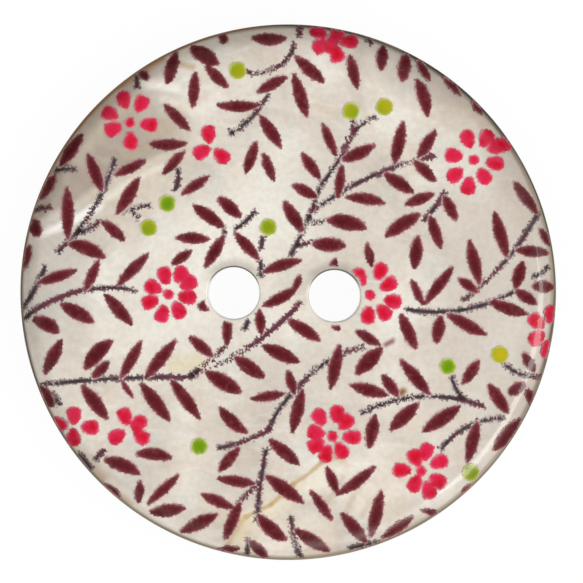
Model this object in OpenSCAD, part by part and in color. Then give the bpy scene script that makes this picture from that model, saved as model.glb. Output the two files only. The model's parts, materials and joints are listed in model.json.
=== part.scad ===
// Two-hole sew-through button, turned from shell and printed with flowering sprigs.
// The back lies on z = 0 and the printed face looks up. The holes lie side by side along X.

/* [Button] */
// Outside diameter, at the widest line of the rim
button_d = 23; // [15:0.5:34]
// Thickness from the back to the face
button_t = 2; // [1.8:0.1:3]
// Height of the rim's widest line above the back
rim_z = 0.8; // [0.5:0.05:0.9]
// How far the edge of the face lies inside the widest line
face_inset = 0.9; // [0.4:0.05:0.9]
// How far the edge of the back lies inside the widest line
back_inset = 0.5; // [0.2:0.05:0.5]

/* [Sewing holes] */
// Diameter of each hole
hole_d = 2.2; // [1.2:0.1:3]
// Distance between the two hole centres
hole_pitch = 4.3; // [3.8:0.1:6]
// How far to the right of the centre the pair was drilled
hole_shift_x = -0.17; // [-0.4:0.01:0.4]
// How far above the centre the pair was drilled
hole_shift_y = -0.1; // [-0.4:0.01:0.4]
// Width of the countersunk edge round each hole
hole_edge = 0.15; // [0.05:0.05:0.3]

/* [Print] */
// Thickness of the ink film
ink_t = 0.05; // [0.04:0.01:0.1]
// Bare margin between the print and the widest line of the rim
print_margin = 0.12; // [0.08:0.01:0.4]
// Width of a stem
stem_w = 0.24; // [0.1:0.02:0.3]
// Diameter of a knot on a stem
knot_d = 0.36; // [0.32:0.02:0.5]
// Width of an average leaf
leaf_w = 0.58; // [0.3:0.02:0.8]
// Length of the leaves, as a share of the drawing's
leaf_share = 1; // [0.7:0.05:1.1]
// Length of a petal
petal_len = 0.8; // [0.4:0.02:0.9]
// Width of a petal
petal_w = 0.64; // [0.3:0.02:0.8]
// Diameter of the eye of a blossom
eye_d = 0.46; // [0.2:0.02:0.7]
// Diameter of a berry
berry_d = 0.74; // [0.4:0.02:1]

/* [Hidden] */
$fn = 96;

button_r = button_d / 2;
hole_r = hole_d / 2;
hole_x = [hole_shift_x - hole_pitch / 2, hole_shift_x + hole_pitch / 2];

// Places in the print are in percent of the button's radius, X to the right and Y up.
percent = button_r / 100;

// The sides of leaves and petals are arcs that would meet this many of their lengths apart.
leaf_taper = 1.1;
petal_taper = 1.4;

// How far the widest line of a petal lies beyond its middle, as a share of its length.
petal_swell = 0.13;

// Stems: start and end, and how far each bows to the left of its way.
STEMS = [
  [[-98, -13], [-56, -1], 5], [[-98.7, -9], [-90, 7.5], -1], [[-86, 12], [-65.3, 48], -3],
  [[-80, 18.7], [-70, 24.5], -0.6], [[-43.5, 47], [-43.3, 36], 1.6],
  [[-88, 42.5], [-79.5, 43.2], 0.4], [[-58.9, 79], [-58.3, 73.5], 0.4],
  [[1.2, 99.3], [1.3, 94.5], 0.4], [[0, 92], [-18.3, 81], 4.3], [[-9, 73.5], [-22, 58.2], 1.2],
  [[21.8, 64.5], [22.4, 60], 0.3], [[31, 66], [22.6, 60], -0.6], [[22.4, 60], [10.8, 39.5], 0.8],
  [[10.8, 39.5], [0.2, 13], 0.6], [[53.2, 52], [8, 30], -2.8], [[6.5, 26.3], [14, 27], -0.4],
  [[2.5, 17], [8.8, 18.5], 0.4], [[57, 39], [49, 27.5], 0.5], [[92, 32.7], [64.5, -1.3], 2.6],
  [[43.5, -5], [84.3, 3], -3.8], [[96.4, 12.7], [90.2, 8], 0.5], [[61.2, -29], [66.3, -38], -0.8],
  [[80.4, -23.7], [95, -28.5], -2], [[28, -44.3], [74.3, -40.6], 5.3],
  [[81.2, -44.3], [57.9, -57], -3.3], [[-91, -37], [-36.6, -32.5], 0.9],
  [[-37, -32.6], [-22, -19.8], -0.8], [[-36, -33], [5, -3.5], -3], [[29, -19.5], [5, -34.7], -2.5],
  [[5, -34.7], [-5.7, -51], -1.1], [[-5.7, -51.2], [-24.8, -58.5], 0.9],
  [[-6.4, -58], [-9.2, -85.5], -0.5], [[-9, -70.5], [-17, -79], 0.4],
  [[3.2, -82.5], [7.8, -99.3], -0.6], [[-12.2, -91.5], [-12.8, -99], 0.3],
  [[25, -94.5], [37, -92], 0.3], [[-12.7, 30], [-20.5, 22.5], 0.5],
  [[-24.2, 23.5], [-24.4, 19.5], 0.3], [[-10.2, 20.5], [-10.7, 15.3], 0.3],
  [[-11, 12], [-10.2, 5.3], 0.3], [[-95, 27.6], [-88, 29], 0.3], [[-62.5, 28], [-51.6, 30.6], 0.4],
  [[-60, 29], [-55.8, 25.3], 0.4], [[-86.5, -39.5], [-83.3, -45], 0.4],
  [[-76.5, -62], [-71, -68], 0.4], [[-69.5, -64.5], [-65.5, -60], 0.6],
  [[-14.5, -10.2], [-16, -14.5], 0.3], [[26.5, 95.3], [28.3, 92.5], 0.3],
];

// Knots: where the ink of a stem ran together.
KNOTS = [[-22.3, 58.2], [22.6, 59.8], [7, 28.2], [-5.6, -50.8], [66, -37.8]];

// Leaves: foot, tip and width as a share of an average leaf's. Leaves that curve have a fourth number:
// the share of the width, over a half, that lies on the left.
LEAVES = [
  [[-39, 90], [-28, 83.3], 1.2], [[-33, 83], [-24.3, 74.8], 0.9], [[-44, 88], [-47, 75.4], 1],
  [[-36.6, 80.6], [-37.3, 66.9], 0.9], [[-48, 68.3], [-38, 58.7], 0.9],
  [[-53.4, 53.6], [-38.8, 54.2], 0.9, -0.15], [[-39.5, 51.4], [-47.8, 42.1], 0.8],
  [[-30.1, 42.2], [-40.8, 34.7], 0.8], [[-57.6, 80.6], [-53.8, 77], 0.7],
  [[-86, 44], [-77.8, 56.4], 1], [[-69.7, 35], [-75.6, 49.2], 1],
  [[-66, 41.3], [-53.8, 47.8], 0.8, -0.1], [[-64.4, 26.7], [-56, 41], 1],
  [[-87.5, 41], [-93.6, 31.8], 1], [[-82, 17], [-82.7, 37], 1], [[-96, 24.5], [-92.7, 17.7], 1],
  [[-96.1, 14.9], [-98.7, 5.5], 0.8], [[-70, 24.4], [-61, 17], 0.9, 0.1],
  [[-82, 15.8], [-67.8, 10.6], 1.1, 0.15], [[-75.4, -2.2], [-70.2, 10.3], 0.8],
  [[-93, 0.6], [-78.2, 6], 0.9], [[-63.3, 0.7], [-51.8, 13], 0.9],
  [[-29.3, 18.8], [-42.3, 19], 0.9], [[-36, 14.5], [-43.4, 8.9], 0.8],
  [[-36.4, 31.3], [-24, 23.2], 1], [[-84.3, -6.5], [-71.2, -13.3], 1.1],
  [[-68, -2.5], [-57, -14], 1], [[-94.5, -12.8], [-84.2, -18], 1.1, 0.2],
  [[-89.4, -33], [-83, -19.6], 1], [[-74.3, -31.2], [-64, -19.7], 1.2, 0.2],
  [[-71.8, -34], [-65.2, -27.3], 0.8], [[-61.2, -34], [-53.5, -19.2], 0.9],
  [[-52.2, -33.6], [-40.8, -18.7], 1], [[-36.2, -17.3], [-27, -24.7], 0.9],
  [[-33.3, -6.5], [-27.5, -5.3], 0.9], [[-27.5, 96], [-26, 91], 0.7],
  [[-3, 94], [-16.2, 94], 1, 0.15], [[0, 87.2], [11.4, 77.6], 1], [[-0.3, 81], [5.3, 64.5], 1],
  [[-2.6, 79.8], [-13.7, 73.5], 0.9], [[-12, 69.3], [-28.6, 68.7], 0.9, 0.2],
  [[-12.4, 65.3], [-4, 53.3], 1], [[-13.2, 55.6], [-17, 43.2], 0.9],
  [[-10.8, 51.4], [-6.2, 40.7], 0.8], [[20.2, 88.7], [23.5, 75.6], 0.9],
  [[16.4, 50.5], [10.9, 63], 0.8], [[18, 49.4], [30.5, 55.6], 1, -0.12],
  [[10.8, 42], [3.4, 51.8], 0.9], [[17.3, 35], [18.6, 47.9], 0.8], [[10, 35.2], [0.3, 39.9], 0.9],
  [[20.3, 35.5], [35.2, 33.7], 0.9, 0.15], [[32.7, 92.6], [31.9, 82.6], 0.9],
  [[41.4, 90.2], [39.9, 78.6], 1], [[45.4, 87.6], [50.4, 79.4], 0.7],
  [[45, 80.2], [49.6, 65.9], 1, 0.2], [[55, 82.2], [62, 74.5], 0.6],
  [[66.3, 73.6], [69.9, 67.7], 0.6], [[37.8, 48.2], [40.9, 64.7], 1],
  [[46.4, 50.7], [53.1, 61.6], 0.9], [[45, 50.1], [53.6, 42.3], 0.9], [[34, 45.1], [45.4, 37.9], 1],
  [[53.3, 38], [42.1, 33.5], 0.9], [[56.2, 37.6], [61.7, 28.2], 0.9],
  [[91.7, 31.4], [82.2, 43.4], 0.9], [[-27, 34.6], [-18, 27], 1], [[-24.2, 20.6], [-31, 8], 0.9],
  [[-20.4, 21.6], [-10.9, 11.5], 0.9], [[4.9, 22.4], [-2.7, 33.7], 1],
  [[13.2, 26.8], [28.5, 24.2], 1.2, 0.15], [[8, 18.2], [21.1, 17.8], 1.1],
  [[28.5, 19.1], [30.8, 10], 0.7], [[17.3, 13.3], [16, 7.5], 0.6],
  [[-9.8, 6.8], [5, 11.8], 0.9, 0.15], [[-9.6, -5.4], [3.8, 2.2], 0.9, -0.15],
  [[2, 0], [4.5, 6.8], 0.6], [[-10.6, -6.2], [-9.4, -16.3], 0.8],
  [[-22, -9.3], [-22.2, -20.6], 0.8], [[0, -9.9], [12.6, -17.7], 1],
  [[-9.1, -19.9], [5.1, -25.9], 1.1], [[-19.3, -24.5], [-7.7, -32], 1.1],
  [[16.7, -35.4], [19.7, -18.7], 1], [[35, -18.8], [25.2, -13.4], 0.8],
  [[35.4, -19.4], [25.7, -29.8], 1.2], [[16.4, -10.4], [19.6, -13.8], 0.6],
  [[48.5, 30], [35.3, 21.1], 1.1, -0.15], [[51.5, 30.1], [56.2, 17.3], 0.9],
  [[47.4, 22.4], [46.4, 9.7], 1], [[80.8, 14.7], [75.3, 32.1], 1], [[70.8, 4.4], [66.3, 21.5], 1],
  [[70.4, 1.7], [62.7, 7.1], 0.8], [[83.8, 3.4], [86.6, 14.1], 1], [[83.4, 18], [96.2, 17.2], 0.9],
  [[90.1, 4.8], [99, 4.8], 0.9], [[83.8, 3.3], [92.1, -1.9], 0.9],
  [[74.2, -0.9], [88.9, -5.6], 1, -0.1], [[58.7, -6.3], [73.9, -14], 1],
  [[56.8, -6.7], [55.2, -17.7], 1], [[41.6, -6.7], [48.1, -20.1], 1],
  [[50.2, -3.7], [45.3, 6.2], 0.7], [[50.4, -3.3], [61, 11.5], 0.9],
  [[65.4, -32.3], [71.6, -22.9], 0.9], [[87.5, -19.9], [92.1, -26.9], 0.8],
  [[92.4, 26.2], [97, 19.8], 0.7], [[-91.3, -37.3], [-85.9, -45], 1],
  [[-75.5, -36.4], [-65.3, -49.1], 1.1], [[-61, -34], [-56, -41.1], 0.5],
  [[-53.7, -35], [-42.2, -49.1], 1.1], [[-42.5, -33.4], [-31.1, -48], 1],
  [[-54.8, -61.7], [-41.1, -62.9], 1, 0.2], [[-66.6, -63.9], [-52.7, -69.1], 1.1, 0.15],
  [[-50, -80.1], [-38.3, -68.5], 0.8], [[-52.6, -71], [-53.2, -79.9], 0.7],
  [[-48.9, -83], [-35.5, -80.9], 1], [[-37.4, -90.1], [-23.4, -82.6], 1],
  [[-17.7, -80.5], [-30.4, -75.5], 0.9], [[-66.5, -73], [-60, -78], 0.7],
  [[-30, -30.2], [-15.9, -37.9], 1.2], [[0, -37.4], [-12.9, -40.1], 0.8],
  [[3.5, -37.8], [0.6, -28.9], 0.8], [[6.5, -35.5], [2.9, -52.1], 1],
  [[-24.2, -43], [-13.2, -52.6], 1, -0.2], [[-16.2, -57.7], [-23.9, -67.3], 0.9],
  [[-9.9, -71.2], [-24.4, -69.7], 0.9], [[-5.7, -54.5], [6.1, -63.8], 1],
  [[-6.5, -67.9], [8, -77.9], 1.1], [[-8.8, -82.2], [2.4, -91.6], 1.1, -0.2],
  [[-15.3, -77.9], [-21.2, -92.5], 0.9], [[10.3, -72.9], [18.9, -84.3], 0.8],
  [[4.7, -87.5], [18.3, -95.8], 1], [[20.5, -74], [16, -63.9], 0.8],
  [[19.6, -74.6], [34.1, -63.3], 0.9, -0.15], [[31.9, -92.1], [21.9, -80.9], 1],
  [[33, -90.1], [36.8, -72.2], 1], [[33.6, -43.9], [31.4, -57.3], 1],
  [[38.2, -37.2], [23.7, -33.7], 1], [[-12, -92], [-4.5, -99.4], 0.8],
  [[-24.2, -96.7], [-14.8, -95.4], 0.6], [[42, -37.6], [35.5, -29.4], 0.9],
  [[53.8, -36.8], [42.1, -23.7], 1], [[49.4, -39.5], [38.9, -50.3], 1.1],
  [[65.1, -40.2], [51.1, -50.4], 1.1], [[71.5, -45.4], [68, -61.3], 1],
  [[82.9, -42.8], [74.9, -31.7], 1], [[89, -31.1], [82.4, -35.4], 0.9],
  [[87.8, -44.4], [77.7, -56.6], 1.1], [[89.5, -33.4], [92.6, -40.1], 0.8],
  [[37.4, -90.3], [48.9, -81.6], 0.8], [[51.2, -79], [59.6, -81.6], 0.5],
  [[66.5, -73], [70.1, -69.4], 0.5],
];

// Blossoms: the middle, and the petals round it.
BLOSSOMS = [
  [[-60.2, 61], [[-62.7, 69.4], [-56.3, 68], [-67.8, 64.1], [-66.4, 58.5], [-53.2, 60.4],
    [-59.8, 54.2]]],
  [[-30, 52.8], [[-31, 57.6], [-33.3, 51], [-26, 49.7]]],
  [[13.5, 92.8], [[8.6, 96.6], [15.3, 96], [20, 93.3], [9.7, 91.3], [15.4, 88.7], [13.2, 91.8]]],
  [[67.4, 50.8], [[64.8, 58.5], [71.6, 58.8], [75.4, 56], [78, 56.6], [75.2, 49.8], [71.2, 45],
    [65.6, 41.2], [60.6, 45.2], [59.9, 52.2]]],
  [[-44.2, -2.1], [[-45.8, 4.8], [-40, 5.4], [-36.9, 2.2], [-37.2, -2.9], [-40.4, -7.8], [-46.3, -9.4],
    [-50.8, -5], [-50, 0.3]]],
  [[30.3, -0.2], [[26.3, 6.3], [33.8, 8.6], [37, 3.8], [38.8, -2.2], [35.6, -6.4], [29.8, -7.7]]],
  [[-78, -52], [[-77.9, -48], [-71.8, -52], [-83.5, -51.5], [-78, -56]]],
  [[-57, -52], [[-59, -47.8], [-54, -50], [-52.8, -54.9], [-61.8, -55.1]]],
  [[17.9, -52.9], [[13, -46], [19.3, -44.6], [22.8, -47.6], [25.1, -53], [21.2, -58], [15.8, -59.3],
    [12, -56.3], [11.8, -51.6]]],
  [[51.1, -64.7], [[52.7, -57.7], [48.7, -60], [44, -64.7], [49, -69.5], [54.1, -71.8], [57.4, -68.1],
    [57.7, -61.3]]],
  [[96.5, -11.5], [[92.3, -8.3], [92.5, -14.4], [97.6, -5.5], [96.7, -18.6]]],
];

// Eyes of the blossoms that have one.
EYES = [[-60.2, 61], [67.4, 50.8], [-44.2, -2.1], [30.3, -0.2], [17.9, -52.9], [51.1, -64.7]];

// Berries: where each lies.
BERRIES = [
  [-21, 81.4], [-45.6, 31.5], [-52.3, 22.3], [-8, 23.8], [21.4, 67.6], [33.6, 69.4],
  [-31.3, -58], [59.9, -25.8], [78.9, -20.9], [69.5, -64.8],
];

// The arc that a stem follows: its chord, its height over the chord, its radius,
// half of the angle it turns through, and the way its chord points.
function chord(s) = norm(s[1] - s[0]) * percent;
function rise(s) = abs(s[2]) * percent;
function arc_r(s) = (pow(chord(s) / 2, 2) + pow(rise(s), 2)) / (2 * rise(s));
function half_turn(s) = asin(chord(s) / 2 / arc_r(s));
function heading(s) = atan2(s[1].y - s[0].y, s[1].x - s[0].x);

// Draws its children from the foot of a stem, with X along the chord and the bow on the side of Y.
module along_chord(s) {
  translate(s[0] * percent) rotate(heading(s)) mirror([0, s[2] > 0 ? 0 : 1]) children();
}

// A strip of even width along the arc.
module stem(s) {
  along_chord(s) intersection() {
    translate([chord(s) / 2, rise(s) - arc_r(s)]) difference() {
      circle(arc_r(s) + stem_w / 2);
      circle(arc_r(s) - stem_w / 2);
    }
    translate([0, -stem_w]) square([chord(s), rise(s) + 2 * stem_w]);
  }
}

// A disc whose edge cuts the X axis at 0 and at len, and arches over it between them.
module arched_disc(len, arch) {
  r = (len * len / 4 + arch * arch) / (2 * arch);
  translate([len / 2, arch - r]) circle(r);
}

// A lance-shaped leaf along X from its foot at the origin, with a share of its width on the left.
// A circle over its length rounds off the points that its sides taper to; a swell is how far its
// widest line lies beyond its middle, as a share of its length.
module leaf(len, w, left_share, taper, swell = 0) {
  side = len * taper;
  start = len * swell - side / 2;
  translate([len / 2, 0]) intersection() {
    translate([start, 0]) arched_disc(side, w * left_share);
    translate([start, 0]) mirror([0, 1]) arched_disc(side, w * (1 - left_share));
    circle(d = len);
  }
}

// A leaf of the drawing, grown from its foot.
module drawn_leaf(l) {
  way = l[1] - l[0];
  translate(l[0] * percent) rotate(atan2(way.y, way.x))
    leaf(norm(way) * percent * leaf_share, leaf_w * l[2], 0.5 + (is_undef(l[3]) ? 0 : l[3]), leaf_taper);
}

// A drop-shaped petal with its middle at the origin, along X.
module petal() {
  translate([-petal_len / 2, 0]) leaf(petal_len, petal_w, 0.5, petal_taper, petal_swell);
}

// Petals round the middle of a blossom, each pointing away from it.
module blossom(b) {
  for (place = b[1]) {
    way = place - b[0];
    translate(place * percent) rotate(atan2(way.y, way.x)) petal();
  }
}

module all_stems() {
  for (s = STEMS) stem(s);
  for (place = KNOTS) translate(place * percent) circle(d = knot_d);
}

module all_leaves() {
  for (l = LEAVES) drawn_leaf(l);
}

module all_blossoms() {
  for (b = BLOSSOMS) blossom(b);
  for (place = EYES) translate(place * percent) circle(d = eye_d);
}

module all_berries() {
  for (place = BERRIES) translate(place * percent) circle(d = berry_d);
}

// Half of the button's section: h high from the widest line to a face, whose edge lies an inset
// further in, with a round rim between them. A film makes it that much larger all round.
module half_section(h, inset, film = 0) {
  rim_r = (h * h + inset * inset) / (2 * inset);
  intersection() {
    square([button_r + film, h + film]);
    union() {
      square([button_r - rim_r, h + film]);
      translate([button_r - rim_r, 0]) circle(rim_r + film);
    }
  }
}

// A cone that widens from the hole's wall, hole_edge below a face at z = 0, up through the ink on it.
module countersink() {
  depth = hole_edge + 2 * ink_t;
  translate([0, 0, -hole_edge]) cylinder(h = depth, r1 = hole_r, r2 = hole_r + depth);
}

// What the drill and the countersink take out of the disc and of the ink.
module hole_cuts() {
  for (x = hole_x) translate([x, hole_shift_y]) {
    translate([0, 0, -button_t]) cylinder(h = 3 * button_t, r = hole_r);
    translate([0, 0, button_t]) countersink();
    mirror([0, 0, 1]) countersink();
  }
}

module shell_disc() {
  color("ivory") difference() {
    rotate_extrude() translate([0, rim_z]) {
      half_section(button_t - rim_z, face_inset);
      mirror([0, 1]) half_section(rim_z, back_inset);
    }
    hole_cuts();
  }
}

// The film of ink that would cover the face, out to the bare margin and up to the hole edges.
module face_film() {
  h = button_t - rim_z;
  difference() {
    rotate_extrude() translate([0, rim_z]) intersection() {
      difference() {
        half_section(h, face_inset, ink_t);
        half_section(h, face_inset);
      }
      square([button_r - print_margin, 2 * h]);
    }
    hole_cuts();
  }
}

// Ink of one colour: the film where its flat shapes are.
module printed() {
  intersection() {
    face_film();
    linear_extrude(2 * button_t) children();
  }
}

module stem_print() {
  color("dimgray") printed() difference() {
    all_stems();
    all_leaves();
    all_blossoms();
    all_berries();
  }
}

module leaf_print() {
  color("maroon") printed() difference() {
    all_leaves();
    all_blossoms();
    all_berries();
  }
}

module blossom_print() {
  color("crimson") printed() difference() {
    all_blossoms();
    all_berries();
  }
}

module berry_print() {
  color("yellowgreen") printed() all_berries();
}

shell_disc();
stem_print();
leaf_print();
blossom_print();
berry_print();
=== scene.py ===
"""Looks of a two-hole shell button with a sprigged print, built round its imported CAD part."""
import json
import math

import bmesh
import bpy
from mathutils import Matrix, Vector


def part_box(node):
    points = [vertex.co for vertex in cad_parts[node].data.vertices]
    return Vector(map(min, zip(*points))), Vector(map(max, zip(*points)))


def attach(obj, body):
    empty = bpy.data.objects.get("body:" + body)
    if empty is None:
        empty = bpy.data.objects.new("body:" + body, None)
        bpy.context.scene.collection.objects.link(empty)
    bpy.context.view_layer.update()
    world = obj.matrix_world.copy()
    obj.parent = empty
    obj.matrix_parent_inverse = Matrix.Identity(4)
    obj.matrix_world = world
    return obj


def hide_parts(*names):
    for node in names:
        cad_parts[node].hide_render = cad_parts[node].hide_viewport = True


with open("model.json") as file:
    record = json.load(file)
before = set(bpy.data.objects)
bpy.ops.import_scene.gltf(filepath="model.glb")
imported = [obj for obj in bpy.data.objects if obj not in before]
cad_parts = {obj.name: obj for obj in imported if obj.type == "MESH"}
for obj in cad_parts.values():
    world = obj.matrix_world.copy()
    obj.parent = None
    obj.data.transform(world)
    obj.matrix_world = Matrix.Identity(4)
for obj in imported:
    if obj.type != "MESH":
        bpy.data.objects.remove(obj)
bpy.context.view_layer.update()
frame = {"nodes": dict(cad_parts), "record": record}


# Shell disc: a blank sawn from the wall of a shell, turned to a round rim and drilled twice for
# the thread. Mother-of-pearl lies in thin layers, which show as clouds, tints and growth lines
# under a clear gloss coat. Light and shade are also painted into its colour: white glints and a
# lighter patch on the lower-left shoulder are painted light; shade is painted along three wrinkles,
# on the upper-right shoulder, towards the rim, above each hole and over the rim edge.
mm = 0.001
button_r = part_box("shell_disc")[1].x
button_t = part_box("shell_disc")[1].z
rim_z = 0.8 * mm
face_arc = 1.25 * mm
back_arc = 0.89 * mm
crease_soft = 0.1 * mm
rim_steps = 320
arc_steps = 22
hole_steps = 96
hole_round = 0.1 * mm
round_steps = 7
flat_border = 0.4 * mm
hole_border = flat_border / 4
holes = [m for m in frame["record"]["mounts"] if m["kind"] == "bore"]


def soft_lower(a, b, soft):
    """The lower of two heights, with the change from one to the other rounded."""
    near = max(soft - abs(a - b), 0) / soft
    return min(a, b) - near ** 3 * soft / 6


def turned(mesh, profile, axis, steps):
    """Turns a profile of radius and height round an upright axis; returns its first and last ring."""
    angles = [2 * math.pi * k / steps for k in range(steps)]
    rings = [
        [mesh.verts.new((axis[0] + r * math.cos(a), axis[1] + r * math.sin(a), z)) for a in angles]
        for r, z in profile
    ]
    for one, two in zip(rings, rings[1:]):
        for k in range(steps):
            n = (k + 1) % steps
            mesh.faces.new((one[k], one[n], two[n], two[k]))
    return rings[0], rings[-1]


def closed_flat(mesh, rings):
    """Fills the flat between an outer ring and the rings of the holes in it."""
    edges = [mesh.edges.get((ring[k - 1], ring[k])) for ring in rings for k in range(len(ring))]
    bmesh.ops.triangle_fill(mesh, edges=edges, use_beauty=True, use_dissolve=False)


lean = [math.pi / 2 * k / arc_steps for k in range(arc_steps + 1)]
face_mid = button_r - face_arc
back_mid = button_r - back_arc
rim_profile = [(face_mid - flat_border, button_t)]
for a in lean:
    over = rim_z + face_arc * math.cos(a)
    rim_profile.append((face_mid + face_arc * math.sin(a), soft_lower(button_t, over, crease_soft)))
for a in reversed(lean[:-1]):
    under = rim_z - back_arc * math.cos(a)
    rim_profile.append((back_mid + back_arc * math.sin(a), -soft_lower(0, -under, crease_soft)))
rim_profile.append((back_mid - flat_border, 0))

disc_mesh = bmesh.new()
top_ring, bottom_ring = turned(disc_mesh, rim_profile, (0, 0), rim_steps)
face_rings, back_rings = [top_ring], [bottom_ring]
bend = [math.pi / 2 * k / round_steps for k in range(round_steps + 1)]
for hole in holes:
    hole_r = hole["dims"]["r_mm"] * mm
    mouth = [
        (hole_r + hole_round * (1 - math.sin(a)), hole_round * (1 - math.cos(a))) for a in bend
    ]
    border = hole_r + hole_round + hole_border
    hole_profile = [(border, button_t)] + [(r, button_t - d) for r, d in mouth]
    hole_profile += [(r, d) for r, d in reversed(mouth)] + [(border, 0)]
    top_ring, bottom_ring = turned(disc_mesh, hole_profile, hole["pos_m"], hole_steps)
    face_rings.append(top_ring)
    back_rings.append(bottom_ring)
closed_flat(disc_mesh, face_rings)
closed_flat(disc_mesh, back_rings)
bmesh.ops.recalc_face_normals(disc_mesh, faces=disc_mesh.faces)
for f in disc_mesh.faces:
    f.smooth = True


def piece_from(mesh, name):
    """Puts a finished mesh into the scene at the origin."""
    piece = bpy.data.objects.new(name, mesh)
    bpy.context.scene.collection.objects.link(piece)
    return piece


disc_data = bpy.data.meshes.new("shell disc")
disc_mesh.to_mesh(disc_data)
disc_mesh.free()
disc = piece_from(disc_data, "shell_disc_turned")


def put(tree, kind, feeds=None, **settings):
    """Adds a node with its settings and feeds its inputs from values or other nodes' outputs."""
    made = tree.nodes.new(kind)
    for name, value in settings.items():
        setattr(made, name, value)
    for name, feed in (feeds or {}).items():
        if isinstance(feed, bpy.types.NodeSocket):
            tree.links.new(feed, made.inputs[name])
        else:
            made.inputs[name].default_value = feed
    return made


def reckon(tree, operation, *terms):
    """One step of arithmetic in a node tree."""
    return put(tree, "ShaderNodeMath", dict(enumerate(terms)), operation=operation).outputs[0]


def vector(tree, operation, *terms):
    """One step of arithmetic on places; its second output is a plain number."""
    return put(tree, "ShaderNodeVectorMath", dict(enumerate(terms)), operation=operation).outputs


def scaled(tree, way, amount):
    """A place or a way made longer or shorter."""
    feeds = {0: way, "Scale": amount}
    return put(tree, "ShaderNodeVectorMath", feeds, operation="SCALE").outputs[0]


def flattened(tree, place):
    """A place seen straight from above, with no height."""
    return vector(tree, "MULTIPLY", place, (1, 1, 0))[0]


def fade(tree, value, start, end):
    """Runs smoothly from 0 at start to 1 at end."""
    feeds = {"Value": value, "From Min": start, "From Max": end}
    return put(tree, "ShaderNodeMapRange", feeds, interpolation_type="SMOOTHSTEP").outputs[0]


def blend(tree, share, under, over, how="MIX"):
    """Lays a share of one colour over another."""
    feeds = {0: share, 6: under, 7: over}
    return put(tree, "ShaderNodeMix", feeds, data_type="RGBA", blend_type=how).outputs[2]


def tinted(tree, tone, where, strength, colour):
    """Lays a colour over a tone where a value asks for it, at a strength of 0 to 1."""
    return blend(tree, reckon(tree, "MULTIPLY", where, strength), tone, colour)


def cloud(tree, place, scale, detail=3, warp=0.0):
    """A soft random value round a half; scale counts clouds per millimetre."""
    feeds = {"Vector": place, "Scale": scale, "Detail": detail, "Distortion": warp}
    return put(tree, "ShaderNodeTexNoise", feeds).outputs[0]


def paint(red, green, blue):
    """A colour as the eye sees it, 0 to 255, in the linear values that a material takes."""
    seen = [v / 255 for v in (red, green, blue)]
    return [v / 12.92 if v < 0.0405 else ((v + 0.055) / 1.055) ** 2.4 for v in seen] + [1]


def ramp(tree, value, *stops):
    """A run of colours along a value."""
    made = put(tree, "ShaderNodeValToRGB", {0: value})
    marks = made.color_ramp.elements
    while len(marks) < len(stops):
        marks.new(0.5)
    for mark, (where, colour) in zip(marks, stops):
        mark.position = where
        mark.color = colour
    return made.outputs[0]


def finish_of(name):
    """A new material: its node tree, its shader and its places in millimetres."""
    material = bpy.data.materials.new(name)
    material.use_nodes = True
    tree = material.node_tree
    at = put(tree, "ShaderNodeTexCoord").outputs["Object"]
    return material, tree, tree.nodes["Principled BSDF"], scaled(tree, at, 1 / mm)


# Lengths in a finish are in millimetres, like its places.
coat_roughness = 0.08
coat_ior = 1.55
coat_thinned = 0.92
coat_shoulder = (10.25, 11.0)
coat_rim = (10.9, 11.2)
wet_way = (0.77, -0.64, 0)
wet_to_dry = (8.5, 2.5)


def gloss_coat(tree, shader, place):
    """The clear gloss coat over shell and print. It drew off the rim and, but for its wet side, off
    the shoulder."""
    out_r = vector(tree, "LENGTH", flattened(tree, place))[1]
    shoulder = fade(tree, out_r, *coat_shoulder)
    rim = fade(tree, out_r, *coat_rim)
    dry_side = fade(tree, vector(tree, "DOT_PRODUCT", place, wet_way)[1], *wet_to_dry)
    bare = reckon(tree, "MAXIMUM", reckon(tree, "MULTIPLY", shoulder, dry_side), rim)
    weight = reckon(tree, "MULTIPLY_ADD", bare, -coat_thinned, 1)
    tree.links.new(weight, shader.inputs["Coat Weight"])
    shader.inputs["Coat Roughness"].default_value = coat_roughness
    shader.inputs["Coat IOR"].default_value = coat_ior


def near_line(tree, place, start, end, width):
    """1 on a line between two points of the face, fading to 0 a width away."""
    start, end = (*start, 0), (*end, 0)
    way = [e - s for s, e in zip(start, end)]
    out = vector(tree, "SUBTRACT", place, start)[0]
    along = reckon(tree, "DIVIDE", vector(tree, "DOT_PRODUCT", out, way)[1], sum(w * w for w in way))
    held = put(tree, "ShaderNodeClamp", {"Value": along}).outputs[0]
    off = vector(tree, "DISTANCE", out, scaled(tree, way, held))[1]
    return fade(tree, off, width, 0)


sway_scale = 0.35
sway_reach = 2.2
mark_sway = 0.35
nacre, tree, shader, place = finish_of("mother-of-pearl")
flat_place = flattened(tree, place)
drift = put(
    tree, "ShaderNodeTexNoise", {"Vector": flat_place, "Scale": sway_scale, "Detail": 4}
).outputs[1]
sway = scaled(tree, vector(tree, "SUBTRACT", drift, (0.5, 0.5, 0.5))[0], sway_reach)
swayed = flattened(tree, vector(tree, "ADD", flat_place, sway)[0])
marked = flattened(tree, vector(tree, "ADD", flat_place, scaled(tree, sway, mark_sway))[0])

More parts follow.
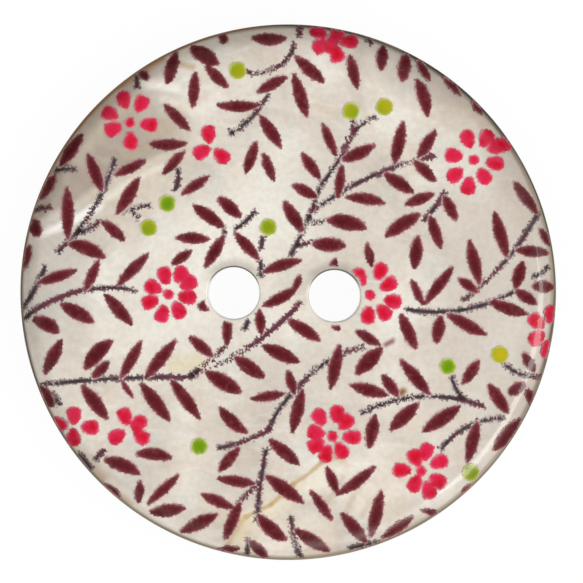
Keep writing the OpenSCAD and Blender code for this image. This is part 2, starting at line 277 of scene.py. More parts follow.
tone = ramp(
    tree, cloud(tree, swayed, scale=0.3, detail=7),
    (0.34, paint(199, 189, 176)), (0.50, paint(218, 209, 196)), (0.66, paint(238, 233, 222)),
)
warmth = fade(tree, cloud(tree, swayed, scale=0.7, detail=4), start=0.48, end=0.7)
tone = tinted(tree, tone, warmth, strength=0.55, colour=paint(224, 206, 186))
coolness = fade(tree, cloud(tree, place, scale=0.55), start=0.52, end=0.72)
tone = tinted(tree, tone, coolness, strength=0.55, colour=paint(210, 210, 204))
layer_stretch = (0.55, 2.6, 0)
layered = vector(tree, "MULTIPLY", swayed, layer_stretch)[0]
layers = fade(tree, cloud(tree, layered, scale=1.0, detail=5), start=0.5, end=0.72)
tone = tinted(tree, tone, layers, strength=0.3, colour=paint(243, 237, 226))
growth = put(
    tree, "ShaderNodeTexWave",
    {"Vector": swayed, "Scale": 0.45, "Distortion": 9, "Detail": 5, "Detail Scale": 1.2},
    bands_direction="DIAGONAL",
).outputs[1]
tone = tinted(tree, tone, growth, strength=0.1, colour=paint(243, 237, 228))


def beyond_line(tree, place, start, end, soft, reach):
    """1 on the left of a line across the face, fading in over a soft width and out along its reach."""
    long = math.dist(start, end)
    way = ((end[0] - start[0]) / long, (end[1] - start[1]) / long, 0)
    out = vector(tree, "SUBTRACT", place, (*start, 0))[0]
    left = vector(tree, "DOT_PRODUCT", out, (-way[1], way[0], 0))[1]
    along = vector(tree, "DOT_PRODUCT", out, way)[1]
    side = fade(tree, left, 0, soft)
    return reckon(tree, "MULTIPLY", side, fade(tree, along, *reach))


def with_marks(tree, tone, place, marks):
    """Lays marks on a tone, each with its start and end on the face in millimetres, its width, its
    colour and its strength."""
    for start, end, width, colour, strength in marks:
        tone = tinted(tree, tone, near_line(tree, place, start, end, width), strength, colour)
    return tone


# Broad tints of the nacre's own tone, but for the last two, on the shoulder: painted light at the
# lower left and painted shade at the upper right.
tints_light_and_shade = [
    ((-5.0, -1.2), (-0.5, 4.0), 4.2, paint(241, 236, 225), 0.8),
    ((8.6, -3.5), (8.8, 3.5), 5.0, paint(206, 196, 185), 0.75),
    ((1.0, 4.8), (3.6, 2.4), 2.4, paint(209, 200, 187), 0.6),
    ((-0.5, -3.5), (3.5, -2.6), 2.4, paint(213, 203, 191), 0.6),
    ((-10.2, -1.2), (-9.6, 1.4), 2.4, paint(198, 192, 183), 0.7),
    ((-7.6, 3.8), (-5.2, 5.6), 1.8, paint(206, 193, 172), 0.6),
    ((-4.8, -3.3), (-3.7, -3.0), 0.7, paint(224, 211, 170), 0.55),
    ((-9.9, -3.6), (-8.8, -5.2), 1.8, paint(238, 230, 218), 0.5),
    ((4.4, 9.8), (6.6, 8.6), 1.3, paint(176, 164, 152), 0.45),
]
tone = with_marks(tree, tone, marked, tints_light_and_shade)
fold_start, fold_end = (-11.2, 2.3), (-5.2, 5.7)
fold_soft = 0.4
fold_reach = (9.5, 5.0)
fold_strength, fold_banding = 0.95, -0.1
fold = beyond_line(tree, marked, fold_start, fold_end, fold_soft, fold_reach)
banded = reckon(tree, "MULTIPLY_ADD", growth, fold_banding, fold_strength)
tone = tinted(tree, tone, fold, banded, paint(169, 155, 141))
# Painted highlights (the white glints) and painted shade (along three wrinkles), among the shell's own
# stains, pale patches and its yellow seam.
glints_stains_and_wrinkle_shade = [
    ((-10.6, 2.1), (-8.2, 3.4), 0.32, paint(252, 250, 245), 0.95),
    ((-8.2, 3.5), (-5.0, 5.4), 0.3, paint(244, 238, 224), 0.6),
    ((-7.2, 5.4), (-4.6, 7.2), 0.5, paint(184, 160, 130), 0.3),
    ((-6.0, 6.8), (-3.8, 8.3), 0.5, paint(192, 168, 132), 0.3),
    ((-6.6, 8.9), (-5.0, 8.7), 0.42, paint(252, 248, 238), 0.8),
    ((-5.6, 9.9), (-4.3, 9.5), 0.24, paint(186, 148, 96), 0.6),
    ((-5.6, 8.2), (-3.9, 7.6), 0.34, paint(242, 233, 216), 0.5),
    ((-5.7, 9.9), (-7.5, 8.7), 0.36, paint(178, 122, 66), 0.8),
    ((-7.5, 8.7), (-9.3, 6.9), 0.32, paint(170, 124, 78), 0.8),
    ((-9.3, 5.7), (-7.3, 8.0), 0.8, paint(212, 198, 178), 0.6),
    ((-8.9, -7.2), (-6.7, -9.1), 0.7, paint(176, 146, 106), 0.7),
    # A painted highlight along the lower-left rim.
    ((-7.3, -8.3), (-4.5, -10.1), 0.34, paint(244, 238, 228), 0.6),
    ((-1.9, -10.2), (1.4, -7.9), 0.8, paint(238, 226, 198), 0.6),
    ((-2.3, -10.9), (-1.5, -9.6), 0.2, paint(190, 154, 96), 0.75),
    ((-1.5, -9.6), (-0.4, -8.95), 0.18, paint(190, 156, 100), 0.75),
    ((-0.4, -8.95), (0.4, -8.1), 0.18, paint(190, 156, 100), 0.8),
    ((0.4, -8.1), (1.7, -7.25), 0.18, paint(190, 158, 106), 0.8),
    ((1.7, -7.25), (2.4, -7.0), 0.2, paint(196, 166, 118), 0.75),
    ((2.4, -7.0), (2.85, -7.4), 0.26, paint(204, 182, 146), 0.65),
    ((1.2, -8.2), (3.4, -7.3), 0.7, paint(240, 233, 220), 0.6),
    # Painted shade along three wrinkles.
    ((1.6, -9.2), (2.6, -7.9), 0.25, paint(196, 176, 152), 0.6),
    ((2.5, -9.6), (3.5, -8.0), 0.25, paint(198, 178, 156), 0.6),
    ((3.4, -9.4), (4.1, -8.4), 0.22, paint(200, 182, 160), 0.55),
    ((-2.0, -9.5), (-1.4, -10.9), 0.9, paint(224, 206, 166), 0.5),
    ((-0.6, -10.4), (1.8, -10.2), 0.9, paint(244, 229, 211), 0.65),
    ((3.7, -8.6), (5.6, -7.2), 1.2, paint(220, 203, 184), 0.5),
]
tone = with_marks(tree, tone, marked, glints_stains_and_wrinkle_shade)
back_below, face_above = 0.9, 1.1
level = put(tree, "ShaderNodeSeparateXYZ", {0: place}).outputs[2]
face_side = fade(tree, level, back_below, face_above)
specks = [
    ((4.98, -4.12), (5.02, -4.06), 0.26, paint(146, 82, 30), 1.0),
    ((4.28, -2.10), (4.46, -2.00), 0.22, paint(126, 56, 72), 0.85),
]
tone = blend(tree, face_side, tone, with_marks(tree, tone, marked, specks))
grain = fade(tree, cloud(tree, place, scale=4.0, detail=5), start=0.35, end=0.65)
tone = tinted(tree, tone, grain, strength=0.13, colour=paint(160, 146, 128))
out_r = vector(tree, "LENGTH", flat_place)[1]
across, up, _ = put(tree, "ShaderNodeSeparateXYZ", {0: flat_place}).outputs
# Painted shade: the tone darkens towards the rim, more on the right.
shade_over = (9.4, 11.7)
left_to_right = (-8, 8)
shade_left, shade_more_right = 0.28, 0.24
shaded = fade(tree, out_r, *shade_over)
righthand = fade(tree, across, *left_to_right)
deeper = reckon(tree, "MULTIPLY_ADD", righthand, shade_more_right, shade_left)
tone = tinted(tree, tone, shaded, deeper, paint(138, 122, 108))
# The rim edge is darker than the face partly in its own colour and partly by painted shade, which
# darkens it towards the top, where light falls least, and brings it further in on the right. Its brown
# at the upper left and its growth layers are the edge's own colour.
edge_slope = 0.045
edge_tone_and_shade = ramp(
    tree, reckon(tree, "MULTIPLY_ADD", up, edge_slope, 0.5),
    (0.0, paint(120, 108, 92)), (0.45, paint(66, 60, 50)), (1.0, paint(36, 34, 26)),
)
brown_over = (9, 15)
brown = fade(tree, reckon(tree, "SUBTRACT", up, across), *brown_over)
edge_tone_and_shade = blend(tree, brown, edge_tone_and_shade, paint(118, 76, 38))
stack_stretch = (0.25, 0.25, 6)
stacked = vector(tree, "MULTIPLY", place, stack_stretch)[0]
stacked = cloud(tree, stacked, scale=1.0, detail=4, warp=0.4)
stacked = fade(tree, stacked, start=0.4, end=0.68)
edge_tone_and_shade = tinted(tree, edge_tone_and_shade, stacked, strength=0.55, colour=paint(164, 148, 124))
edge_left, edge_wider_right, edge_full = 11.24, -0.12, 11.42
edge_from = reckon(tree, "MULTIPLY_ADD", righthand, edge_wider_right, edge_left)
edge_share = fade(tree, out_r, edge_from, edge_full)
tone = blend(tree, edge_share, tone, edge_tone_and_shade)
# Painted shade round each hole, on its upper side only: a soft grey halo and a dark line at the mouth.
hole_shade_halo_width, hole_shade_halo_side = (1.65, 1.15), (0.3, 1.1)
hole_shade_line_width, hole_shade_line_side = (1.2, 1.13), (0.2, 0.8)
for hole in holes:
    middle = [c / mm for c in hole["pos_m"][:2]] + [0]
    round_hole = vector(tree, "DISTANCE", flat_place, middle)[1]
    from_middle = vector(tree, "SUBTRACT", flat_place, middle)[0]
    over = vector(tree, "DOT_PRODUCT", from_middle, (0, 1, 0))[1]
    hole_shade_halo = fade(tree, round_hole, *hole_shade_halo_width)
    hole_shade_halo = reckon(tree, "MULTIPLY", hole_shade_halo, fade(tree, over, *hole_shade_halo_side))
    tone = tinted(tree, tone, hole_shade_halo, strength=0.5, colour=paint(140, 128, 116))
    hole_shade_line = fade(tree, round_hole, *hole_shade_line_width)
    hole_shade_line = reckon(tree, "MULTIPLY", hole_shade_line, fade(tree, over, *hole_shade_line_side))
    tone = tinted(tree, tone, hole_shade_line, strength=0.9, colour=paint(48, 44, 38))
tree.links.new(tone, shader.inputs["Base Color"])
polish_fine, polish_coarse = 0.28, 0.42
polish = put(
    tree, "ShaderNodeMapRange", {"Value": growth, "To Min": polish_fine, "To Max": polish_coarse}
).outputs[0]
tree.links.new(polish, shader.inputs["Roughness"])
ripple_deep = 0.05 * mm
ripple = cloud(tree, swayed, scale=1.3, detail=4, warp=1.5)
ripple = put(
    tree, "ShaderNodeBump", {"Height": ripple, "Strength": 0.25, "Distance": ripple_deep}
).outputs[0]
tree.links.new(ripple, shader.inputs["Normal"])
shader.inputs["Specular IOR Level"].default_value = 0
gloss_coat(tree, shader, place)
disc_data.materials.append(nacre)
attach(disc, "root")
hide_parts("shell_disc")


# Stem ink: slate-grey ink in broken, crayon-like strokes, a thin worn film with darker flecks.
# It is printed first, straight on the polished shell, and follows the face over the shoulder.
# Some runs took less ink, and most of those came out redder.
stem_film = 0.018 * mm
stem_edge_step = 0.045 * mm
stem_ragged = 0.15 * mm
stem_grain = 11.0
worn_share = 0.47
rub_scale = 13
rub_depth = 0.09
wear_scale = 0.45
wear_swing = 0.9
core_hold = 1.2
edge_pale, edge_pale_fall = 0.95, -7.0
fleck_long = 0.055 * mm
fleck_wide = 0.03 * mm
flecks_per_mm2 = 70
fleck_sides = 6
fleck_flat = 0.6
fleck_least, fleck_most = 0.5, 1.3
fleck_deep = 2
# Each run's start and end on the face in millimetres, and how red it came out.
thin_runs = [
    ((0.5, -0.5), (-2.05, -2.8), 1.0),
    ((-2.05, -2.8), (-3.35, -3.4), 0.9),
    ((2.4, -2.5), (3.2, -2.25), 0.9),
    ((-0.8, -5.9), (-1.9, -6.5), 0.9),
    ((-1.15, -8.3), (-1.95, -9.2), 0.9),
    ((-2.0, 9.3), (-0.5, 9.7), 0.6),
    ((-10.2, -0.65), (-6.6, 0.0), 0.3),
    ((-2.3, 6.9), (-1.5, 7.6), 0.0),
    ((2.4, 4.5), (4.9, 5.75), 0.3),
    ((8.25, 0.5), (9.05, 1.3), 0.0),
    ((9.6, 2.2), (10.5, 3.5), 0.0),
    ((3.3, -5.07), (5.1, -4.36), 0.0),
    ((6.75, -6.5), (8.0, -5.4), 0.0),
    ((7.75, -4.4), (8.5, -4.65), 0.4),
]
run_wide = 0.7
thinner = 0.09
weld_within = 0.0001 * mm
join_within = 0.0002 * mm
ink_lift = 0.015 * mm
ink_roughness = 0.6
ink_shade_over = (9.9, 11.5)
ink_shade_share = 0.6
top_facing = 0.2
crisp_from = 0.7


def inked(tree, shader, place, ink):
    """Matt ink under the clear coat; near the rim it is darkened by painted shade, as the shell is."""
    out_r = vector(tree, "LENGTH", flattened(tree, place))[1]
    share = reckon(tree, "MULTIPLY", fade(tree, out_r, *ink_shade_over), ink_shade_share)
    ink_with_painted_shade = blend(tree, share, ink, paint(170, 158, 146), "MULTIPLY")
    tree.links.new(ink_with_painted_shade, shader.inputs["Base Color"])
    shader.inputs["Roughness"].default_value = ink_roughness
    shader.inputs["Specular IOR Level"].default_value = 0
    gloss_coat(tree, shader, place)


def sizes_for(tree, names):
    """Gives a node tree the geometry it starts from, named sizes and a finish."""
    tree.interface.new_socket("Ink", in_out="INPUT", socket_type="NodeSocketGeometry")
    for name in names:
        tree.interface.new_socket(name, in_out="INPUT", socket_type="NodeSocketFloat")
    tree.interface.new_socket("Finish", in_out="INPUT", socket_type="NodeSocketMaterial")
    tree.interface.new_socket("Print", in_out="OUTPUT", socket_type="NodeSocketGeometry")
    return tree.nodes.new("NodeGroupInput").outputs


def drawn(tree, least, most, seed):
    """A random number between two bounds, fixed by its seed."""
    feeds = {2: least, 3: most, "Seed": seed}
    return put(tree, "FunctionNodeRandomValue", feeds, data_type="FLOAT").outputs[1]


def ragged_flat(tree, given):
    """The flat shapes of an ink, cut from the tops of its CAD film, with a ragged outline."""
    way = put(tree, "GeometryNodeInputNormal").outputs[0]
    upward = put(tree, "ShaderNodeSeparateXYZ", {0: way}).outputs[2]
    low = put(tree, "FunctionNodeCompare", {0: upward, 1: top_facing}, operation="LESS_THAN")
    tops = put(
        tree, "GeometryNodeDeleteGeometry",
        {"Geometry": given["Ink"], "Selection": low.outputs[0]}, domain="FACE",
    ).outputs[0]
    sides = put(tree, "GeometryNodeInputMeshEdgeNeighbors").outputs[0]
    lone = put(
        tree, "FunctionNodeCompare", {2: sides, 3: 1}, data_type="INT", operation="EQUAL"
    ).outputs[0]
    outline = put(tree, "GeometryNodeMeshToCurve", {0: tops, 1: lone}).outputs[0]
    here = put(tree, "GeometryNodeInputPosition").outputs[0]
    outline = put(
        tree, "GeometryNodeSetPosition", {"Geometry": outline, "Position": flattened(tree, here)}
    ).outputs[0]
    outline = put(
        tree, "GeometryNodeResampleCurve", {"Curve": outline, "Length": given["Edge step"]},
        mode="LENGTH",
    ).outputs[0]
    grain = put(
        tree, "ShaderNodeTexNoise",
        {"Vector": here, "Scale": reckon(tree, "DIVIDE", given["Grain"], mm), "Detail": 2},
    ).outputs[0]
    spike = drawn(tree, -1.0, 0.0, seed=5)
    reach = reckon(tree, "MULTIPLY", reckon(tree, "ADD", grain, spike), given["Ragged"])
    along = put(tree, "GeometryNodeInputTangent").outputs[0]
    across = vector(tree, "CROSS_PRODUCT", along, (0, 0, 1))[0]
    line = put(tree, "GeometryNodeCurveToMesh", {"Curve": outline}).outputs[0]
    outline = put(
        tree, "GeometryNodeSetPosition",
        {"Geometry": outline, "Offset": scaled(tree, across, reach)},
    ).outputs[0]
    flat = put(tree, "GeometryNodeFillCurve", {"Curve": outline}, mode="TRIANGLES").outputs[0]
    flat = put(tree, "GeometryNodeSubdivideMesh", {"Mesh": flat, "Level": 1}).outputs[0]
    off = put(tree, "GeometryNodeProximity", {0: line}, target_element="EDGES").outputs["Distance"]
    return put(
        tree, "GeometryNodeStoreNamedAttribute",
        {"Geometry": flat, "Name": "from_edge", "Value": reckon(tree, "DIVIDE", off, mm)},
        data_type="FLOAT", domain="POINT",
    ).outputs[0]


def laid_on_face(tree, flat):
    """Lifts flat shapes on to the face of the disc, down over its round shoulder."""
    here = put(tree, "GeometryNodeInputPosition").outputs[0]
    out = vector(tree, "LENGTH", flattened(tree, here))[1]
    past = reckon(tree, "MAXIMUM", reckon(tree, "SUBTRACT", out, face_mid), 0)
    square = reckon(tree, "MULTIPLY", past, past)
    square = reckon(tree, "SUBTRACT", (face_arc + ink_lift) ** 2, square)
    arc = reckon(tree, "ADD", reckon(tree, "SQRT", square), rim_z)
    z = reckon(tree, "SMOOTH_MIN", arc, button_t, crease_soft)
    lift = put(tree, "ShaderNodeCombineXYZ", {2: z}).outputs[0]
    return put(tree, "GeometryNodeSetPosition", {"Geometry": flat, "Offset": lift}).outputs[0]


def thickened(tree, sheet, given):
    """Gives a laid sheet a thickness, as a closed film with a smooth top and crisp sides."""
    raised = put(
        tree, "GeometryNodeExtrudeMesh",
        {"Mesh": sheet, "Offset Scale": given["Film"], "Individual": False},
    )
    under = put(tree, "GeometryNodeFlipFaces", {"Mesh": sheet}).outputs[0]
    soft = put(
        tree, "GeometryNodeSetShadeSmooth", {"Geometry": raised.outputs["Mesh"], "Shade Smooth": True}
    ).outputs[0]
    both = put(tree, "GeometryNodeJoinGeometry")
    tree.links.new(soft, both.inputs[0])
    tree.links.new(under, both.inputs[0])
    closed = put(
        tree, "GeometryNodeMergeByDistance", {"Geometry": both.outputs[0], "Distance": join_within}
    ).outputs[0]
    bend = put(tree, "GeometryNodeInputMeshEdgeAngle").outputs[0]
    sharp = put(
        tree, "FunctionNodeCompare", {0: bend, 1: crisp_from}, operation="GREATER_THAN"
    ).outputs[0]
    return put(
        tree, "GeometryNodeSetShadeSmooth",
        {"Geometry": closed, "Selection": sharp, "Shade Smooth": False}, domain="EDGE",
    ).outputs[0]


def pressed(tree, made, given):
    """Ends a node tree: real mesh, with its finish."""
    real = put(tree, "GeometryNodeRealizeInstances", {"Geometry": made}).outputs[0]
    final = put(tree, "GeometryNodeSetMaterial", {"Geometry": real, "Material": given["Finish"]})
    put(tree, "NodeGroupOutput", {0: final.outputs[0]})


def printed(node, name, tree, sizes, finish):
    """Runs a node tree on a merged copy of a CAD ink and keeps the result as a plain mesh."""
    joined = bmesh.new()
    joined.from_mesh(frame["nodes"][node].data)
    bmesh.ops.remove_doubles(joined, verts=joined.verts, dist=weld_within)
    data = bpy.data.meshes.new(name)
    joined.to_mesh(data)
    joined.free()
    piece = piece_from(data, name)
    press = piece.modifiers.new("print", "NODES")
    press.node_group = tree
    inputs = {**sizes, "Finish": finish}
    for socket in tree.interface.items_tree:
        if socket.in_out == "INPUT" and socket.name in inputs:
            press[socket.identifier] = inputs[socket.name]
    seen = piece.evaluated_get(bpy.context.evaluated_depsgraph_get())
    plain = bpy.data.meshes.new_from_object(seen)
    piece.modifiers.remove(press)
    piece.data = plain
    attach(piece, "root")
    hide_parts(node)
    return piece


crayon = bpy.data.node_groups.new("crayon strokes", "GeometryNodeTree")
given = sizes_for(crayon, [
    "Film", "Edge step", "Ragged", "Grain", "Worn share", "Fleck length", "Fleck width", "Flecks",
])
sheet = laid_on_face(crayon, ragged_flat(crayon, given))
spot = put(crayon, "GeometryNodeInputPosition").outputs[0]
rub = put(
    crayon, "ShaderNodeTexNoise", {"Vector": spot, "Scale": rub_scale / mm, "Detail": 1}
).outputs[0]
wear = put(
    crayon, "ShaderNodeTexNoise", {"Vector": spot, "Scale": wear_scale / mm, "Detail": 1}
).outputs[0]
wear = reckon(crayon, "MULTIPLY_ADD", wear, wear_swing, -wear_swing / 2)
inward = put(
    crayon, "GeometryNodeInputNamedAttribute", {"Name": "from_edge"}, data_type="FLOAT"
).outputs[0]
bare = reckon(crayon, "ADD", given["Worn share"], wear)
bare = reckon(crayon, "SUBTRACT", bare, reckon(crayon, "MULTIPLY", inward, core_hold))
flat_spot = vector(crayon, "MULTIPLY", spot, (1 / mm, 1 / mm, 0))[0]
for start, end, _ in thin_runs:
    run = near_line(crayon, flat_spot, start, end, run_wide)
    bare = reckon(crayon, "MULTIPLY_ADD", run, thinner, bare)
rubbed = reckon(crayon, "DIVIDE", reckon(crayon, "SUBTRACT", bare, rub), rub_depth)
worn = put(crayon, "FunctionNodeCompare", {0: rubbed, 1: 1}, operation="GREATER_THAN").outputs[0]
film = put(
    crayon, "GeometryNodeDeleteGeometry", {"Geometry": sheet, "Selection": worn}, domain="FACE"
).outputs[0]
paler = reckon(crayon, "MULTIPLY_ADD", inward, edge_pale_fall, edge_pale)
paler = reckon(crayon, "MAXIMUM", paler, rubbed)
film = put(
    crayon, "GeometryNodeStoreNamedAttribute",
    {"Geometry": film, "Name": "tone", "Value": paler},
    data_type="FLOAT", domain="POINT",
).outputs[0]
film = thickened(crayon, film, given)
strewn = put(
    crayon, "GeometryNodeDistributePointsOnFaces",
    {"Mesh": sheet, "Density": reckon(crayon, "DIVIDE", given["Flecks"], mm * mm), "Seed": 7},
)
fleck = put(
    crayon, "GeometryNodeMeshCylinder",
    {"Vertices": fleck_sides, "Radius": 1.0, "Depth": fleck_flat}, fill_type="NGON",
).outputs[0]
turn = drawn(crayon, 0.0, 2 * math.pi, seed=11)
turn = put(crayon, "ShaderNodeCombineXYZ", {2: turn}).outputs[0]
turn = put(crayon, "FunctionNodeEulerToRotation", {0: turn}).outputs[0]
turn = put(
    crayon, "FunctionNodeRotateRotation", {0: strewn.outputs["Rotation"], 1: turn},
    rotation_space="LOCAL",
).outputs[0]
large = drawn(crayon, fleck_least, fleck_most, seed=13)
deep = reckon(crayon, "MULTIPLY", given["Film"], fleck_deep)
shape = put(
    crayon, "ShaderNodeCombineXYZ", {0: given["Fleck length"], 1: given["Fleck width"], 2: deep}
).outputs[0]
shape = scaled(crayon, shape, large)
flecks = put(
    crayon, "GeometryNodeInstanceOnPoints",
    {"Points": strewn.outputs["Points"], "Instance": fleck, "Rotation": turn, "Scale": shape},
).outputs[0]
shade = drawn(crayon, 0.0, 1.0, seed=17)
flecks = put(
    crayon, "GeometryNodeStoreNamedAttribute", {"Geometry": flecks, "Name": "tone", "Value": shade},
    data_type="FLOAT", domain="INSTANCE",
).outputs[0]
together = put(crayon, "GeometryNodeJoinGeometry")
crayon.links.new(film, together.inputs[0])
crayon.links.new(flecks, together.inputs[0])
pressed(crayon, together.outputs[0], given)

stem_ink, tree, shader, place = finish_of("slate-grey stem ink")
uneven = 0.5
pale = put(tree, "ShaderNodeAttribute", attribute_name="tone").outputs["Fac"]
pale = reckon(tree, "ADD", pale, reckon(tree, "MULTIPLY", cloud(tree, place, scale=2.4), uneven))
pale = reckon(tree, "SUBTRACT", pale, uneven / 2)
ink = ramp(
    tree, pale,
    (0.0, paint(38, 32, 35)), (0.4, paint(76, 63, 66)), (0.7, paint(120, 102, 104)),
    (1.0, paint(184, 169, 168)),
)
reddish = fade(tree, cloud(tree, place, scale=0.6, detail=2), start=0.5, end=0.64)
flat_place = flattened(tree, place)
for start, end, redness in thin_runs:
    run = reckon(tree, "MULTIPLY", near_line(tree, flat_place, start, end, run_wide), redness)
    reddish = reckon(tree, "MAXIMUM", reddish, run)
ink = tinted(tree, ink, reddish, strength=0.7, colour=paint(112, 54, 68))
inked(tree, shader, place, ink)
stems = printed(
    "stem_print", "stem_ink_strokes", crayon,
    {
        "Film": stem_film, "Edge step": stem_edge_step, "Ragged": stem_ragged, "Grain": stem_grain,
        "Worn share": worn_share, "Fleck length": fleck_long, "Fleck width": fleck_wide,
        "Flecks": flecks_per_mm2,
    },
    stem_ink,
)


# Leaf ink: maroon ink in lance-shaped leaves, printed as a solid film beside the stems. It is
# wetter in the middle, so a dark core thins out to a ragged, purplish fringe.
leaf_film = 0.025 * mm
ink_edge_step = 0.045 * mm
leaf_ragged = 0.085 * mm
leaf_grain = 5.0
leaf_creep = 0.12
leaf_depth = 5.5


def depth_in(tree, place, scale, creep):
    """How far in from the edge of its shape the ink lies, in millimetres, creeping to and fro."""
    off = put(tree, "ShaderNodeAttribute", attribute_name="from_edge").outputs["Fac"]
    crept = reckon(tree, "MULTIPLY_ADD", cloud(tree, place, scale), creep, -creep / 2)
    return reckon(tree, "ADD", off, crept)


solid_film = bpy.data.node_groups.new("solid film", "GeometryNodeTree")
given = sizes_for(solid_film, ["Film", "Edge step", "Ragged", "Grain"])
sheet = laid_on_face(solid_film, ragged_flat(solid_film, given))
pressed(solid_film, thickened(solid_film, sheet, given), given)

leaf_ink, tree, shader, place = finish_of("maroon leaf ink")
ink = ramp(
    tree, reckon(tree, "MULTIPLY", depth_in(tree, place, leaf_grain, leaf_creep), leaf_depth),
    (0.0, paint(208, 178, 176)), (0.13, paint(168, 113, 119)), (0.32, paint(128, 67, 73)),
    (0.54, paint(110, 50, 55)), (0.8, paint(102, 38, 44)), (1.0, paint(94, 29, 34)),
)
wetter = fade(tree, cloud(tree, place, scale=1.6, detail=4), start=0.4, end=0.7)
ink = tinted(tree, ink, wetter, strength=0.5, colour=paint(72, 16, 22))
drier = fade(tree, cloud(tree, place, scale=3.1), start=0.54, end=0.7)
ink = tinted(tree, ink, drier, strength=0.3, colour=paint(136, 70, 76))
inked(tree, shader, place, ink)
leaves = printed(
    "leaf_print", "leaf_ink_film", solid_film,
    {"Film": leaf_film, "Edge step": ink_edge_step, "Ragged": leaf_ragged, "Grain": leaf_grain},
    leaf_ink,
)


# Blossom ink: crimson ink in rings of oval petals round an eye, printed as a solid film.
# Neighbours run together where it was wet, and its edge bleeds to pink.
blossom_film = 0.030 * mm
blossom_ragged = 0.075 * mm
blossom_grain = 6.0
creep_scale = 4.0
blossom_creep = 0.16
blossom_depth = 4.0

blossom_ink, tree, shader, place = finish_of("crimson blossom ink")
ink = ramp(
    tree, reckon(tree, "MULTIPLY", depth_in(tree, place, creep_scale, blossom_creep), blossom_depth),
    (0.0, paint(222, 156, 164)), (0.12, paint(211, 100, 118)), (0.26, paint(208, 62, 86)),
    (0.46, paint(209, 36, 63)), (0.9, paint(205, 18, 44)),
)
pinker = fade(tree, cloud(tree, place, scale=1.3), start=0.42, end=0.58)
ink = tinted(tree, ink, pinker, strength=0.4, colour=paint(222, 50, 94))
redder = fade(tree, cloud(tree, place, scale=1.9), start=0.52, end=0.66)
ink = tinted(tree, ink, redder, strength=0.5, colour=paint(186, 8, 28))
inked(tree, shader, place, ink)
blossoms = printed(
    "blossom_print", "blossom_ink_film", solid_film,
    {
        "Film": blossom_film, "Edge step": ink_edge_step, "Ragged": blossom_ragged,
        "Grain": blossom_grain,
    },
    blossom_ink,
)


# Berry ink: lime-green ink in single round dots, printed last as a solid film. A few dots have
# turned yellow, and all have a soft yellow-green edge.
berry_film = 0.030 * mm
berry_ragged = 0.05 * mm
berry_grain = 6.0
berry_creep = 0.12
berry_depth = 4.0
yellow_over = (0.6, 0.1)
yellow_least = 0.25
# Middle of each dot on the face in millimetres, and how far it has turned.
yellowed = [
    ((9.1, -2.4), 1.0), ((3.95, 8.05), 0.7), ((2.35, 7.85), 0.5), ((-2.3, 9.3), 0.5),
    ((-5.9, 2.65), 0.35),
]

berry_ink, tree, shader, place = finish_of("lime-green berry ink")
ink = ramp(
    tree, reckon(tree, "MULTIPLY", depth_in(tree, place, creep_scale, berry_creep), berry_depth),
    (0.0, paint(206, 207, 160)), (0.16, paint(168, 182, 92)), (0.34, paint(136, 163, 48)),
    (0.6, paint(117, 151, 26)), (1.0, paint(107, 145, 16)),
)
flat_place = flattened(tree, place)
sunny = fade(tree, cloud(tree, place, scale=0.6, detail=2), start=0.5, end=0.66)
sunny = reckon(tree, "MULTIPLY", sunny, yellow_least)
for spot, strength in yellowed:
    off_spot = vector(tree, "DISTANCE", flat_place, (*spot, 0))[1]
    yellow = reckon(tree, "MULTIPLY", fade(tree, off_spot, *yellow_over), strength)
    sunny = reckon(tree, "MAXIMUM", sunny, yellow)
ink = blend(tree, sunny, ink, paint(186, 172, 28))
inked(tree, shader, place, ink)
berries = printed(
    "berry_print", "berry_ink_film", solid_film,
    {"Film": berry_film, "Edge step": ink_edge_step, "Ragged": berry_ragged, "Grain": berry_grain},
    berry_ink,
)


# Floor, light and camera: the button lies on a white sheet under a soft studio sky, which is dim
# at the horizon and overhead and brighter on the near side. One soft lamp stands at the right,
# and the camera looks straight down.
floor_half = 0.4
floor_gap = 0.005 * mm
floor_mesh = bmesh.new()
bmesh.ops.create_grid(floor_mesh, x_segments=1, y_segments=1, size=floor_half)
bmesh.ops.translate(floor_mesh, verts=floor_mesh.verts, vec=(0, 0, -floor_gap))
floor_data = bpy.data.meshes.new("white sheet")
floor_mesh.to_mesh(floor_data)
floor_mesh.free()
floor = piece_from(floor_data, "floor")
sheet_white, tree, shader, place = finish_of("white sheet")
speck = cloud(tree, place, scale=0.5, detail=2)
paper = blend(tree, speck, paint(246, 246, 246), paint(250, 250, 250))
tree.links.new(paper, shader.inputs["Base Color"])
sheet_roughness = 0.9
shader.inputs["Roughness"].default_value = sheet_roughness
shader.inputs["Specular IOR Level"].default_value = 0
path = put(tree, "ShaderNodeLightPath").outputs
mirrored = reckon(tree, "MAXIMUM", path["Is Glossy Ray"], path["Is Transmission Ray"])
seen = reckon(tree, "MAXIMUM", path["Is Camera Ray"], mirrored)
white = put(
    tree, "ShaderNodeEmission", {"Color": paint(255, 255, 255), "Strength": 1.0}
).outputs[0]
sheet_share = 0.96
whitened = put(
    tree, "ShaderNodeMixShader",
    {0: reckon(tree, "MULTIPLY", seen, sheet_share), 1: shader.outputs[0], 2: white},
).outputs[0]
tree.links.new(whitened, tree.nodes["Material Output"].inputs["Surface"])
floor_data.materials.append(sheet_white)

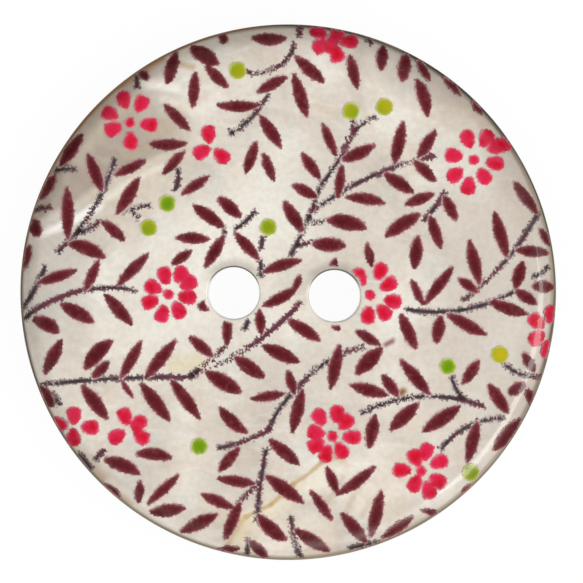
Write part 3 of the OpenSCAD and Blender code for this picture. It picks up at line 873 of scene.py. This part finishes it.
sky = bpy.data.worlds.new("studio sky")
sky.use_nodes = True
tree = sky.node_tree
aim = put(tree, "ShaderNodeTexCoord").outputs["Generated"]
height = put(tree, "ShaderNodeSeparateXYZ", {0: aim}).outputs[2]
glow = ramp(
    tree, height,
    (0.0, paint(116, 116, 116)), (0.25, paint(186, 186, 186)), (0.5, paint(255, 255, 255)),
    (0.75, paint(255, 255, 255)), (0.866, paint(219, 219, 219)), (0.94, paint(174, 174, 174)),
    (0.985, paint(116, 116, 116)), (1.0, paint(50, 50, 50)),
)
tree.links.new(glow, tree.nodes["Background"].inputs["Color"])
near_side = (0.2, -0.98, 0)
sky_strength = 1.13
sky_far, sky_near = 0.5 * sky_strength, 1.5 * sky_strength
nearer = vector(tree, "DOT_PRODUCT", aim, near_side)[1]
sky_run = put(
    tree, "ShaderNodeMapRange", {"Value": nearer, 1: -0.9, 2: 0.9, 3: sky_far, 4: sky_near}
).outputs[0]
tree.links.new(sky_run, tree.nodes["Background"].inputs["Strength"])
bpy.context.scene.world = sky

lamp_far = 0.16
lamp_high = math.radians(42)
lamp_turn = math.radians(-22)
lamp_wide, lamp_tall = 0.13, 0.09
lamp_power = 0.118
lamp_data = bpy.data.lights.new("soft lamp", "AREA")
lamp_data.shape = "RECTANGLE"
lamp_data.size, lamp_data.size_y = lamp_wide, lamp_tall
lamp_data.energy = lamp_power
lamp = bpy.data.objects.new("soft_lamp", lamp_data)
lamp.location = (
    lamp_far * math.cos(lamp_high) * math.cos(lamp_turn),
    lamp_far * math.cos(lamp_high) * math.sin(lamp_turn),
    button_t + lamp_far * math.sin(lamp_high),
)
lamp.rotation_euler = (math.pi / 2 - lamp_high, 0, lamp_turn + math.pi / 2)
bpy.context.scene.collection.objects.link(lamp)

frame_width = 25.045 * mm
camera_lens = 180
clip_near = 0.01
camera_turn = math.radians(1.62)
beside, above = 0.142 * mm, 0.029 * mm
camera_data = bpy.data.cameras.new("camera")
camera_data.lens = camera_lens
camera_data.clip_start = clip_near
camera = bpy.data.objects.new("camera", camera_data)
camera.location = (
    beside * math.cos(camera_turn) - above * math.sin(camera_turn),
    beside * math.sin(camera_turn) + above * math.cos(camera_turn),
    rim_z + frame_width * camera_lens / camera_data.sensor_width,
)
camera.rotation_euler = (0, 0, camera_turn)
bpy.context.scene.collection.objects.link(camera)
bpy.context.scene.camera = camera
bpy.context.scene.view_settings.view_transform = "Standard"
